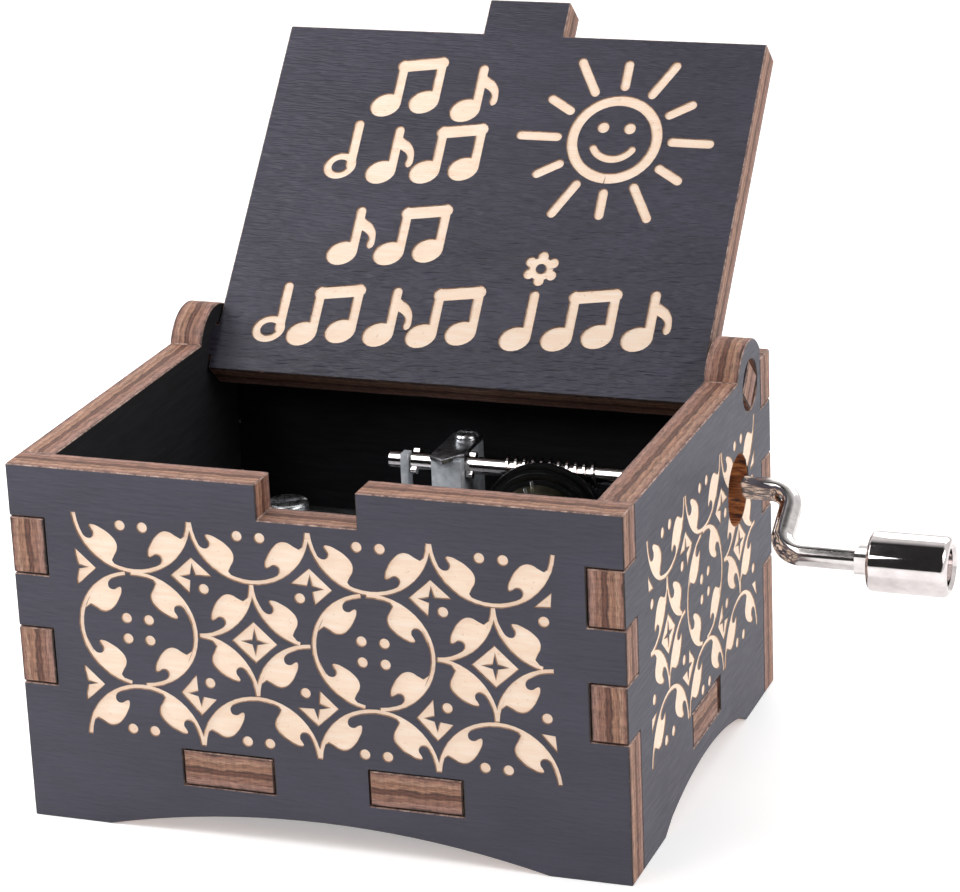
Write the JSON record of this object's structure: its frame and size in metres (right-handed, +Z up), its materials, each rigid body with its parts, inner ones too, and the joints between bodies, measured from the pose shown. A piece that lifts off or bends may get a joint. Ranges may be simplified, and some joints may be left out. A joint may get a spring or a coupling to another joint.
{
  "type": "hand crank music box",
  "caption": "Small black plywood music box with engraved scrollwork, a hinged lid and a bent wire crank that turns a pinned cylinder against a steel comb.",
  "frame": {"origin": "centre of the case's footprint, in the plane of the soles of its feet", "axes": "+X to the crank side, +Y towards the hinge, +Z up"},
  "size_m": [0.088, 0.075, 0.0701],
  "materials": {
    "painted_plywood": "satin black lacquer over basswood plywood, laser cut and engraved",
    "die_cast_zinc": "as-cast zinc alloy, dull grey",
    "zinc_plated_steel": "bright zinc plate",
    "pressed_steel": "pressed sheet steel, nickel flash",
    "spring_steel": "ground and tempered spring steel",
    "nickel_plated_steel": "nickel plate",
    "lead": "soft solder and lead, dull",
    "nickel_plated_brass": "thin nickel over brass tube",
    "black_acetal": "moulded black acetal",
    "chrome_wire": "bright chrome plate on steel wire",
    "chrome_knob": "polished chrome plate"
  },
  "bodies": {
    "case": {"front_panel": "painted_plywood", "back_panel": "painted_plywood", "left_panel": "painted_plywood", "right_panel": "painted_plywood", "bottom_panel": "painted_plywood", "movement_frame": "die_cast_zinc", "mounting_screws": "zinc_plated_steel", "shaft_clamp": "pressed_steel", "shaft_clamp_screw": "zinc_plated_steel", "axle_caps": "pressed_steel", "axle_cap_screws": "zinc_plated_steel", "comb": "spring_steel", "comb_screws": "nickel_plated_steel", "comb_weights": "lead"},
    "lid": {"lid": "painted_plywood"},
    "crank": {"crank_shaft": "chrome_wire"},
    "knob": {"crank_knob": "chrome_knob"},
    "cylinder": {"cylinder": "nickel_plated_brass", "cylinder_pins": "spring_steel", "cylinder_end_discs": "pressed_steel", "cylinder_axle": "zinc_plated_steel", "worm_wheel": "black_acetal"}
  },
  "joints": [
    {"name": "lid_hinge", "type": "hinge", "parent": "case", "child": "lid", "pos_m": [0, 0.0183, 0.0366], "axis": [1, 0, 0], "range_deg": [0, 132.3]},
    {"name": "crank_spin", "type": "hinge", "parent": "case", "child": "crank", "pos_m": [0, 0.0133, 0.0271], "axis": [-1, 0, 0], "continuous": true},
    {"name": "knob_spin", "type": "hinge", "parent": "crank", "child": "knob", "pos_m": [0.0519, 0.00624, 0.023], "axis": [1, 0, 0], "continuous": true},
    {"name": "cylinder_spin", "type": "hinge", "parent": "case", "child": "cylinder", "pos_m": [0.0115, 0, 0.0219], "axis": [0, 1, 0], "continuous": true}
  ],
  "couplings": [
    {"joint": "cylinder_spin", "follows": "crank_spin", "ratio": 0.038462}
  ]
}
